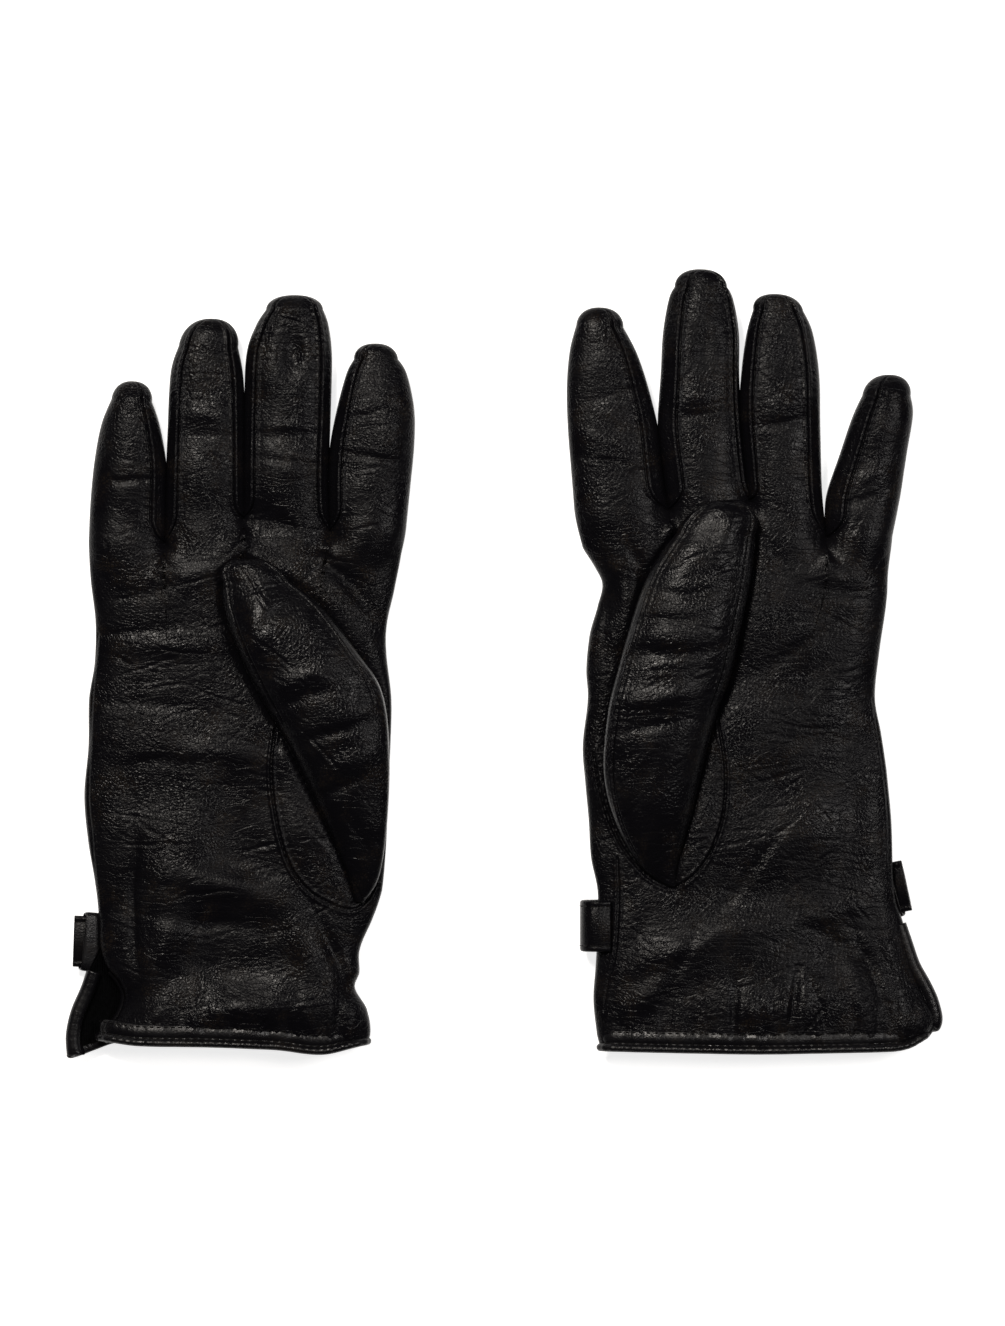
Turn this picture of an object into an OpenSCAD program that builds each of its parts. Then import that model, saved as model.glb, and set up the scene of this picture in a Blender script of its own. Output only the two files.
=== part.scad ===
// A pair of lined leather gloves lying palm up, fingers towards +Y.
// The right-hand glove lies on the -X side and the left-hand glove on the +X side.
// Millimetres. The origin is under the middle of the pair, on the surface they lie on.

/* [Leather] */
// Thickness of the outer leather
leather_t = 1.0; // [0.8:0.1:1.2]
// Thickness of the knitted lining
lining_t = 0.6; // [0.4:0.1:0.8]
// Angle at which a finger's front and back strips meet its side walls
seam_angle = 50; // [40:1:60]

/* [Heights] */
// Height of the hand part at the knuckles
hand_h = 14.0; // [12:0.5:18]
// Height of the hand part at the wrist
wrist_h = 14.0; // [12:0.5:16]
// Height of a finger at its root
finger_h = 14.0; // [12:0.5:18]
// Height that the thumb stands above the palm
thumb_h = 13.0; // [10:0.5:16]

/* [Strap] */
// Width of the wrist strap
strap_w = 17.0; // [14:0.5:20]
// Thickness of the folded strap
strap_t = 1.4; // [1.2:0.1:2.0]

/* [Cuff] */
// Width of the folded binding round the cuff
hem_w = 5.5; // [4:0.5:8]
// Thickness of the folded binding
hem_t = 2.0; // [1.6:0.1:2.4]

/* [Hidden] */

LEATHER = [0.045, 0.043, 0.048];
THUMB_LEATHER = [0.06, 0.057, 0.062];
EDGE = [0.03, 0.03, 0.033];
KNIT = [0.09, 0.09, 0.1];

RIGHT = 0;
LEFT = 1;
INDEX = 0;
MIDDLE = 1;
RING = 2;
LITTLE = 3;
PALM = 0;
BACK = 1;

// Each finger: root x, root y, tip x, tip y, half width, bluntness of the tip
FINGERS = [
    [
        [-46.2, 46, -42, 107.8, 13.7, 4],
        [-74.2, 51, -71, 124.4, 13.7, 7.5],
        [-101.6, 47, -99.4, 116.3, 12.8, 7],
        [-127.6, 41, -125.4, 95.5, 12.2, 3.3],
    ],
    [
        [40, 52, 32.5, 120.4, 14.9, 3.6],
        [70.2, 57, 67, 133.3, 13.4, 6.5],
        [97.8, 52, 93, 124.8, 12.7, 6],
        [121.4, 43, 132.6, 97.6, 10.0, 4.5],
    ],
];

// Outline of each hand part: y, lower x edge, upper x edge, from the cuff to the knuckles
HANDS = [
    [
        [-131.5, -137, -46], [-120, -138, -45.5], [-108, -136.6, -48.5], [-98, -135.8, -48.5],
        [-88, -135.8, -45.5], [-75, -138, -40.8], [-60, -140.5, -39.4], [-45, -141.5, -39],
        [-28, -140.5, -38.2], [-10, -140, -37.8], [5, -138.5, -39.5], [20, -138.8, -37.6],
        [34, -140.2, -34.8], [46, -140.4, -32.6],
    ],
    [
        [-131, 33, 141], [-120, 31, 143], [-108, 31.2, 138.8], [-98, 31.4, 134.5],
        [-88, 31.6, 132.4], [-75, 31.6, 132], [-60, 29.8, 131.6], [-45, 28.6, 131.2],
        [-28, 27.4, 128.8], [-10, 28.4, 126.3], [5, 29.4, 127.8], [16, 31.4, 129.2],
        [28, 33.2, 130.8], [39, 28.0, 130.6], [52, 24.8, 132.2],
    ],
];

// Outline of the thumb piece sewn over the palm's opening: y, lower x edge, upper x edge
THUMB_BASES = [
    [
        [-82.5, -55, -48], [-79, -62, -45], [-72, -70, -43.6], [-62, -75, -43],
        [-48, -77.5, -42.4], [-34, -77.5, -42], [-22, -76.5, -41.6],
    ],
    [
        [-75, 51, 62], [-71, 46.5, 69], [-62, 40, 73], [-50, 36.5, 75.3], [-36, 34.5, 75.2],
        [-18, 33, 73.4],
    ],
];

// Free part of the thumb from its root: y, centre x, half width. The last row is the tip.
THUMBS = [
    [
        [-21.5, -57.5, 18.5], [-8, -63, 18.5], [6, -71, 17.4], [18, -78, 16], [27, -82, 13.5],
        [32.5, -84.5, 9.5], [35, -85.5, 4],
    ],
    [
        [-17.5, 53, 19.4], [-2, 58, 18.6], [14, 63.4, 17.5], [30, 68.4, 16], [42, 72, 13.6],
        [50, 74, 10.5], [54, 75, 5],
    ],
];

// The palm's opening under each thumb: centre x, centre y, half x, half y, tilt
THUMB_HOLES = [[-59, -44, 12, 21, 8], [54, -42, 13, 21, 3]];

// Where the slit of each cuff starts, on the little finger's side
VENT_TOP = [-104, -88];
// How far the slit's two edges have moved apart at the cuff: [palm side inwards, back outwards]
VENT_SPREAD = [[9, 8.5], [4, 3]];

// Each strap: thumb end [x, y], free end [x, y]
STRAPS = [[[-52, -94.5], [-145, -94.5]], [[34, -89.5], [139.5, -75]]];
// Middle of the keeper loop along each strap and its width
KEEPERS = [[-139.5, 5.6], [135.6, 2.6]];
// Where the underside starts to rise over the strap
STRAP_RISE_Y = [-60, -44];

sewn_gap = 0.2;        // between sewn parts
joint_gap = 0.5;       // between a finger or thumb and the hand
crotch_gap = 0.15;     // between a finger's side walls and the hand beside its root
finger_power = 0.74;   // 1 gives elliptical sections, less gives flatter ones
hand_power = 0.5;      // the same for the hand part
root_seam_angle = 14;  // seam angle where a side wall starts at the finger's root
seam_half = 0.6;       // half the angle left open along a seam
finger_middle_z = 7.0; // height of the widest part of a finger
finger_lift = 1.4;     // rise of a fingertip's underside
finger_drop = 2.0;     // fall of a fingertip's top
flat_share = 1.06;     // above 1 the underside gets a flat face
strap_z = 1.2;         // underside of the strap
rise_over_strap = 3.0; // height of the back leather over the strap
keeper_t = 0.9;        // thickness of the keeper loop
wall_steps = 4;        // columns across a side wall
front_steps = 6;       // columns across a finger's front
tip_rows = 5;          // rows round a fingertip
root_steps = 4;        // columns of the hand across each finger's root
hand_rows = 8;         // rows of the plain part of the hand
knuckle_rows = 4;      // rows where the hand parts into the roots of the fingers
plain_y = 14;          // where the hand starts to part
knuckle_y = 40;        // where the outline of the hand ends
root_band = 5;         // straight end of the hand at each finger's root
slit = 0.004;          // share of a half left open where the lining's two edges meet

function mix(a, b, t) = a + (b - a) * t;
function clamp01(t) = min(1, max(0, t));
function ease(t) = let(c = clamp01(t)) c * c * (3 - 2 * c);
function signed_pow(v, p) = sign(v) * pow(abs(v), p);

// Smooth curve through a table's column, at y
function row_at(table, y, i = 0) =
    i >= len(table) - 2 || y < table[i + 1][0] ? i : row_at(table, y, i + 1);
function curve(a, b, c, d, t) =
    0.5 * (2 * b + (c - a) * t + (2 * a - 5 * b + 4 * c - d) * t * t
           + (3 * b - a - 3 * c + d) * t * t * t);
function look(table, y, column) =
    let(
        i = row_at(table, y),
        last = len(table) - 1,
        t = clamp01((y - table[i][0]) / (table[i + 1][0] - table[i][0]))
    )
    curve(table[max(0, i - 1)][column], table[i][column], table[i + 1][column],
          table[min(last, i + 2)][column], t);

// ---- Closed solids between two grids of points ----

// Side faces between two rows of point numbers, the second list lying under the first
function rim(a, b) =
    [for (k = [0 : len(a) - 2]) each [[a[k], b[k], b[k + 1]], [a[k], b[k + 1], a[k + 1]]]];

// Seen from outside, rows run upwards and columns to the left.
// A closed grid's last column joins its first one.
module shell(outer, inner, closed = false) {
    rows = len(outer);
    cols = len(outer[0]);
    n = rows * cols;
    spans = closed ? cols : cols - 1;
    function at(layer, r, c) = layer * n + r * cols + c % cols;
    function quad(a, b, c, d) = [[a, b, c], [a, c, d]];
    skin = [for (r = [0 : rows - 2]) for (c = [0 : spans - 1])
        each quad(at(0, r, c), at(0, r, c + 1), at(0, r + 1, c + 1), at(0, r + 1, c))];
    underside = [for (r = [0 : rows - 2]) for (c = [0 : spans - 1])
        each quad(at(1, r, c), at(1, r + 1, c), at(1, r + 1, c + 1), at(1, r, c + 1))];
    root = [for (c = [0 : spans]) at(0, 0, c)];
    tip = [for (c = [spans : -1 : 0]) at(0, rows - 1, c)];
    right_side = closed ? [] : [for (r = [rows - 1 : -1 : 0]) at(0, r, 0)];
    left_side = closed ? [] : [for (r = [0 : rows - 1]) at(0, r, cols - 1)];
    edges = [for (line = [root, tip, right_side, left_side]) if (len(line) > 0)
        each rim(line, [for (p = line) p + n])];
    polyhedron(
        concat([for (row = outer) each row], [for (row = inner) each row]),
        concat(skin, underside, edges),
        convexity = 8
    );
}

// ---- Fingers ----

// A point on a finger: v runs from 0 at the root to 1 at the tip, `close` is how much of the
// section is left, `a` goes round the section (0 towards +X, 90 towards the palm side).
function finger_point(f, v, close, a, inset) =
    let(
        length = f[3] - f[1] - joint_gap / 2 - 1.2 * inset,
        top = finger_h - finger_drop * v - finger_middle_z,
        bottom = finger_middle_z - finger_lift * v * v,
        height = ((sin(a) > 0 ? top : bottom) - inset) * pow(close, 0.75)
    )
    [
        mix(f[0], f[2], v) + (f[4] - inset) * close * signed_pow(cos(a), finger_power),
        f[1] + joint_gap / 2 + length * v,
        finger_middle_z + height * signed_pow(sin(a), finger_power),
    ];

// Rows along a finger: [v, part of the section left], closing round the tip
function finger_rows(f) =
    concat(
        [[0, 1], [0.18, 1], [0.34, 1]],
        [for (k = [0 : tip_rows]) let(w = mix(24, 86, k / tip_rows), v = pow(sin(w), 2 / f[5]))
            if (v > 0.4) [v, cos(w)]]
    );

// The seams start close together at the root and spread along the finger
function seam_at(v) = mix(root_seam_angle, seam_angle, ease(v / 0.3));

// A strip of a finger's skin. Its sides are given as [fixed angle, share of the seam angle].
module finger_strip(f, from, to, steps) {
    function angle(side, v) = side[0] + side[1] * seam_at(v);
    function grid(inset) =
        [for (r = finger_rows(f)) [for (k = [0 : steps])
            let(a = mix(angle(from, r[0]) + seam_half, angle(to, r[0]) - seam_half, k / steps))
            finger_point(f, r[0], r[1], a, inset)]];
    shell(grid(0), grid(leather_t));
}

module finger_front(g, i) {
    color(LEATHER) finger_strip(FINGERS[g][i], [0, 1], [180, -1], front_steps);
}

module finger_back(g, i) {
    color(LEATHER) finger_strip(FINGERS[g][i], [180, 1], [360, -1], front_steps);
}

// Side wall between two fingers, on the +X side (side = 1) or the -X side (side = -1)
module fourchette(g, i, side) {
    middle = side > 0 ? 0 : 180;
    color(LEATHER) finger_strip(FINGERS[g][i], [middle, -1], [middle, 1], wall_steps);
}

// The index finger's leather runs round its outer side in one piece
module index_wrap(g) {
    open = g == RIGHT ? 180 : 0;
    color(LEATHER)
        finger_strip(FINGERS[g][INDEX], [open, 1], [open + 360, -1], 2 * front_steps + wall_steps);
}

// The little finger's front and back meet in one seam on its outer side
module little_half(g, half) {
    f = FINGERS[g][LITTLE];
    start = 180 * half;
    seam_first = (g == LEFT) == (half == PALM);
    color(LEATHER)
        finger_strip(f, [start, seam_first ? 0 : 1], [start + 180, seam_first ? -1 : 0],
                     front_steps + 2);
}

module finger_lining(g, i) {
    steps = 10;
    gap = leather_t + sewn_gap;
    function grid(inset) =
        [for (r = finger_rows(FINGERS[g][i])) [for (k = [0 : steps - 1])
            finger_point(FINGERS[g][i], r[0], r[1], 360 * k / steps, inset)]];
    color(KNIT) shell(grid(gap), grid(gap + lining_t), closed = true);
}

// ---- Hand ----

function hand_bottom(g, y) = rise_over_strap * ease((STRAP_RISE_Y[g] - y) / 14);
function hand_top(y) = mix(wrist_h, hand_h, ease((y + 90) / 120));
function hand_seam(g, y) = mix(hand_bottom(g, y), hand_top(y), 0.5);

// How far the slit has moved the edge of one half towards +X
function vent_shift(g, half, y) =
    let(
        share = ease((VENT_TOP[g] - y) / (VENT_TOP[g] - HANDS[g][0][0])),
        spread = VENT_SPREAD[g][half] * (half == PALM ? 1 : -1)
    )
    (g == RIGHT ? spread : -spread) * share;

// A point on the palm half or the back half. `share` runs over the half against the clock,
// seen from the cuff: the palm half from +X to -X, the back half from -X to +X.
function hand_point(g, half, y, share, inset) =
    let(
        a = 180 * (half + share),
        shift = vent_shift(g, half, y),
        lo = look(HANDS[g], y, 1) + (g == RIGHT ? shift : 0) + inset,
        hi = look(HANDS[g], y, 2) + (g == LEFT ? shift : 0) - inset,
        seam = hand_seam(g, y),
        top = (hand_top(y) - seam - inset) * signed_pow(sin(a), hand_power),
        down = (seam - hand_bottom(g, y)) * flat_share - inset,
        flat = seam - hand_bottom(g, y) - inset,
        under = min(flat, down * pow(abs(sin(a)), hand_power))
    )
    [
        (lo + hi) / 2 + (hi - lo) / 2 * signed_pow(cos(a), hand_power),
        y,
        seam + (half == PALM ? top : -under),
    ];

// The front edge of one half, along the roots of the fingers
function front_edge(g, half, inset) =
    let(along = g == RIGHT ? [INDEX, MIDDLE, RING, LITTLE] : [LITTLE, RING, MIDDLE, INDEX])
    [for (n = half == PALM ? [0 : 3] : [3 : -1 : 0]) for (k = [0 : root_steps])
        let(
            f = FINGERS[g][along[n]],
            a = 180 * (half + k / root_steps),
            side = k == 0 || k == root_steps,
            x = side ? f[0] + (f[4] + crotch_gap) * cos(a) : finger_point(f, 0, 1, a, inset)[0]
        )
        [x, f[1] - joint_gap / 2, finger_point(f, 0, 1, a, inset)[2]]];

// Holds the palm half above the side seams and the back half below them
function off_seam(p, seam, half, below) =
    let(gap = sewn_gap / 2 + leather_t - below)
    [p[0], p[1], half == PALM ? max(p[2], seam + gap) : min(p[2], seam - gap)];

// Grid over one half from y0 to the finger roots, ending in a straight band at each root
function hand_grid(g, half, y0, inset, below) =
    let(
        front = front_edge(g, half, inset),
        cols = len(front) - 1,
        band = [for (p = front) p - [0, root_band, 0]]
    )
    [for (r = [0 : hand_rows + knuckle_rows + 1])
        let(
            w = min(1, max(0, (r - hand_rows) / knuckle_rows)),
            y = w > 0 ? mix(plain_y, knuckle_y, w) : mix(y0, plain_y, r / hand_rows),
            end = r > hand_rows + knuckle_rows ? front : band
        )
        [for (k = [0 : cols])
            let(
                plain = hand_point(g, half, y, k / cols, inset),
                last = hand_point(g, half, knuckle_y, k / cols, inset)
            )
            off_seam(plain + ease(w) * (end[k] - last),
                     mix(hand_seam(g, y), finger_middle_z, ease(w)), half, below)]];

module hand_half(g, half) {
    y0 = HANDS[g][0][0] + hem_w;
    shell(hand_grid(g, half, y0, 0, 0), hand_grid(g, half, y0, leather_t, leather_t));
}

module thumb_opening(g, grow = 0) {
    c = THUMB_HOLES[g];
    translate([c[0], c[1], finger_middle_z]) rotate(c[4])
        linear_extrude(20) scale([1, c[3] / c[2]]) circle(c[2] + grow, $fn = 36);
}

module palm(g) {
    color(LEATHER) difference() {
        hand_half(g, PALM);
        thumb_opening(g);
    }
}

module back(g) {
    color(LEATHER) hand_half(g, BACK);
}

// Once round the hand at y, from one edge of the slit to the other
function hand_round(g, y, inset, steps) =
    let(halves = g == RIGHT ? [BACK, PALM] : [PALM, BACK])
    concat(
        [for (k = [0 : steps]) hand_point(g, halves[0], y, max(slit, k / steps), inset)],
        [for (k = [1 : steps]) hand_point(g, halves[1], y, min(1 - slit, k / steps), inset)]
    );

module hem(g) {
    y0 = HANDS[g][0][0];
    rows = [y0, y0 + hem_w - sewn_gap];
    function grid(inset) = [for (y = rows) hand_round(g, y, inset, 10)];
    color(EDGE) shell(grid(0), grid(hem_t));
}

module hand_lining(g) {
    y0 = HANDS[g][0][0] + hem_w;
    gap = leather_t + sewn_gap;
    function grid(inset) = [for (r = [0 : 8]) hand_round(g, mix(y0, plain_y, r / 8), inset, 10)];
    color(KNIT) difference() {
        shell(grid(gap), grid(gap + lining_t));
        thumb_opening(g, 0.5);
    }
}

// ---- Strap ----

// Middle of the strap at x
function strap_y(g, x) =
    let(from = STRAPS[g][0], to = STRAPS[g][1])
    mix(from[1], to[1], (x - from[0]) / (to[0] - from[0]));

module strap(g) {
    from = STRAPS[g][0];
    to = STRAPS[g][1];
    h = strap_w / 2;
    corner_x = to[0] - 3 * sign(to[0] - from[0]);
    corner = [corner_x, strap_y(g, corner_x)];
    color(LEATHER) {
        translate([0, 0, strap_z]) linear_extrude(strap_t)
            polygon([
                from + [0, -h], corner + [0, -h], to + [0, -h + 4],
                to + [0, h - 4], corner + [0, h], from + [0, h],
            ]);
        if (g == LEFT) strap_end(g);
    }
}

// The strap's sewn end, turned up round the glove's thumb side in a C
module strap_end(g) {
    from = STRAPS[g][0];
    depth = 8.8;
    height = hand_h + 0.8;
    r = 4;
    function side(inset) = concat(
        [[depth, height - inset]],
        [for (a = [90 : 15 : 180]) [r + (r - inset) * cos(a), height - r + (r - inset) * sin(a)]],
        [for (a = [180 : 15 : 270]) [r + (r - inset) * cos(a), r + (r - inset) * sin(a)]],
        [[depth, inset]]
    );
    inner = side(strap_t);
    translate([look(HANDS[g], from[1], 1) - 4.6, from[1] + strap_w / 2, strap_z])
        rotate([90, 0, 0]) linear_extrude(strap_w)
            polygon(concat(side(0), [for (k = [len(inner) - 1 : -1 : 0]) inner[k]]));
}

module keeper(g) {
    x = KEEPERS[g][0];
    y = strap_y(g, x);
    hole = [KEEPERS[g][1] + 1, strap_w + 0.6, strap_t + 0.4];
    loop = [KEEPERS[g][1], hole[1] + 2 * keeper_t, hole[2] + 2 * keeper_t];
    color(EDGE)
        translate([x, y, strap_z + strap_t / 2]) difference() {
            cube(loop, center = true);
            cube(hole, center = true);
        }
}

// ---- Thumb ----

// Height of the palm's surface
function palm_z(g, x, y) =
    let(
        lo = look(HANDS[g], y, 1),
        hi = look(HANDS[g], y, 2),
        u = min(1, abs(2 * (x - lo) / (hi - lo) - 1)),
        seam = hand_seam(g, y)
    )
    seam + (hand_top(y) - seam) * pow(1 - pow(u, 2 / hand_power), hand_power / 2);

// Dome over the palm's opening, rising towards the free part of the thumb
module thumb_base(g) {
    table = THUMB_BASES[g];
    y0 = table[0][0];
    y1 = THUMBS[g][0][0] - joint_gap;
    steps = 10;
    function point(y, a, inset) =
        let(
            lo = look(table, y, 1) + inset,
            hi = look(table, y, 2) - inset,
            x = (lo + hi) / 2 + (hi - lo) / 2 * signed_pow(cos(a), finger_power),
            rise = mix(leather_t + 0.6, thumb_h, ease((y - y0) / (y1 - y0))) - inset
        )
        [x, y, palm_z(g, x, y) + sewn_gap + rise * signed_pow(sin(a), finger_power)
               + (leather_t - inset) * 0.3];
    function grid(inset) =
        [for (r = [0 : 8]) [for (k = [0 : steps])
            point(mix(y0 + inset, y1, r / 8), 180 * k / steps, inset)]];
    color(THUMB_LEATHER) shell(grid(0), grid(leather_t));
}

function thumb_point(g, y, a, inset) =
    let(
        table = THUMBS[g],
        half = look(table, y, 2),
        close = half / table[1][2],
        height = (thumb_h * pow(close, 0.5) - 1) / 2 - inset,
        z = hand_h + 0.5 + thumb_h / 2
    )
    [
        look(table, y, 1) + (half - inset) * signed_pow(cos(a), finger_power),
        y,
        z + height * signed_pow(sin(a), finger_power),
    ];

module thumb_strip(g, from, to, steps, inset, t, closed = false) {
    table = THUMBS[g];
    ys = [for (r = table) r[0]];
    function grid(depth) =
        [for (y = ys) [for (k = [0 : closed ? steps - 1 : steps])
            thumb_point(g, y - 0.8 * depth * (y > 0 ? 1 : 0), mix(from, to, k / steps), depth)]];
    shell(grid(inset), grid(inset + t), closed);
}

module thumb_front(g) {
    color(THUMB_LEATHER) thumb_strip(g, seam_half, 180 - seam_half, 8, 0, leather_t);
}

module thumb_back(g) {
    color(THUMB_LEATHER) thumb_strip(g, 180 + seam_half, 360 - seam_half, 8, 0, leather_t);
}

module thumb_lining(g) {
    color(KNIT) thumb_strip(g, 0, 360, 10, leather_t + sewn_gap, lining_t, closed = true);
}

palm(RIGHT);  // right_palm
back(RIGHT);  // right_back
hem(RIGHT);  // right_hem
strap(RIGHT);  // right_strap
keeper(RIGHT);  // right_keeper
thumb_base(RIGHT);  // right_thumb_base
thumb_front(RIGHT);  // right_thumb_front
thumb_back(RIGHT);  // right_thumb_back
thumb_lining(RIGHT);  // right_thumb_lining
index_wrap(RIGHT);  // right_index_wrap
fourchette(RIGHT, INDEX, -1);  // right_index_fourchette
finger_lining(RIGHT, INDEX);  // right_index_lining
finger_front(RIGHT, MIDDLE);  // right_middle_front
finger_back(RIGHT, MIDDLE);  // right_middle_back
fourchette(RIGHT, MIDDLE, 1);  // right_middle_fourchette_index
fourchette(RIGHT, MIDDLE, -1);  // right_middle_fourchette_ring
finger_lining(RIGHT, MIDDLE);  // right_middle_lining
finger_front(RIGHT, RING);  // right_ring_front
finger_back(RIGHT, RING);  // right_ring_back
fourchette(RIGHT, RING, 1);  // right_ring_fourchette_middle
fourchette(RIGHT, RING, -1);  // right_ring_fourchette_little
finger_lining(RIGHT, RING);  // right_ring_lining
little_half(RIGHT, PALM);  // right_little_front
little_half(RIGHT, BACK);  // right_little_back
fourchette(RIGHT, LITTLE, 1);  // right_little_fourchette
finger_lining(RIGHT, LITTLE);  // right_little_lining
hand_lining(RIGHT);  // right_hand_lining
palm(LEFT);  // left_palm
back(LEFT);  // left_back
hem(LEFT);  // left_hem
strap(LEFT);  // left_strap
keeper(LEFT);  // left_keeper
thumb_base(LEFT);  // left_thumb_base
thumb_front(LEFT);  // left_thumb_front
thumb_back(LEFT);  // left_thumb_back
thumb_lining(LEFT);  // left_thumb_lining
index_wrap(LEFT);  // left_index_wrap
fourchette(LEFT, INDEX, 1);  // left_index_fourchette
finger_lining(LEFT, INDEX);  // left_index_lining
finger_front(LEFT, MIDDLE);  // left_middle_front
finger_back(LEFT, MIDDLE);  // left_middle_back
fourchette(LEFT, MIDDLE, -1);  // left_middle_fourchette_index
fourchette(LEFT, MIDDLE, 1);  // left_middle_fourchette_ring
finger_lining(LEFT, MIDDLE);  // left_middle_lining
finger_front(LEFT, RING);  // left_ring_front
finger_back(LEFT, RING);  // left_ring_back
fourchette(LEFT, RING, -1);  // left_ring_fourchette_middle
fourchette(LEFT, RING, 1);  // left_ring_fourchette_little
finger_lining(LEFT, RING);  // left_ring_lining
little_half(LEFT, PALM);  // left_little_front
little_half(LEFT, BACK);  // left_little_back
fourchette(LEFT, LITTLE, -1);  // left_little_fourchette
finger_lining(LEFT, LITTLE);  // left_little_lining
hand_lining(LEFT);  // left_hand_lining
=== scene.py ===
"""A pair of black leather gloves lying palm up, built round the CAD frame."""

import math

import bpy
import numpy as np
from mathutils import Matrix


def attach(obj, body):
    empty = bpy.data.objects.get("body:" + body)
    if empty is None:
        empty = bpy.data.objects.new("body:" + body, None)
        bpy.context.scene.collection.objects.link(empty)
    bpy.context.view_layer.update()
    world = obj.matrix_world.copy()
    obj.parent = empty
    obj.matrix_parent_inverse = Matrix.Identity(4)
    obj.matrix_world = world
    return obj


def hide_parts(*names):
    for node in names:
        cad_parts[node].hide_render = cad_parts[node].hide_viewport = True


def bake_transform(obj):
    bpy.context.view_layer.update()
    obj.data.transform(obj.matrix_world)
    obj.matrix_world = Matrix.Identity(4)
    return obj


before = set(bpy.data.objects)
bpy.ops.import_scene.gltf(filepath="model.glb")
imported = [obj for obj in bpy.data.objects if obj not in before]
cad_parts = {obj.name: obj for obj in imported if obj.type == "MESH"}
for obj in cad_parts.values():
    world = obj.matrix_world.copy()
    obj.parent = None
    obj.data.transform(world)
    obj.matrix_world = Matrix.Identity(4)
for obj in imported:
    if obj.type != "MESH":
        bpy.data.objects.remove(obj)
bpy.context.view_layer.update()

MM = 0.001

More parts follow.
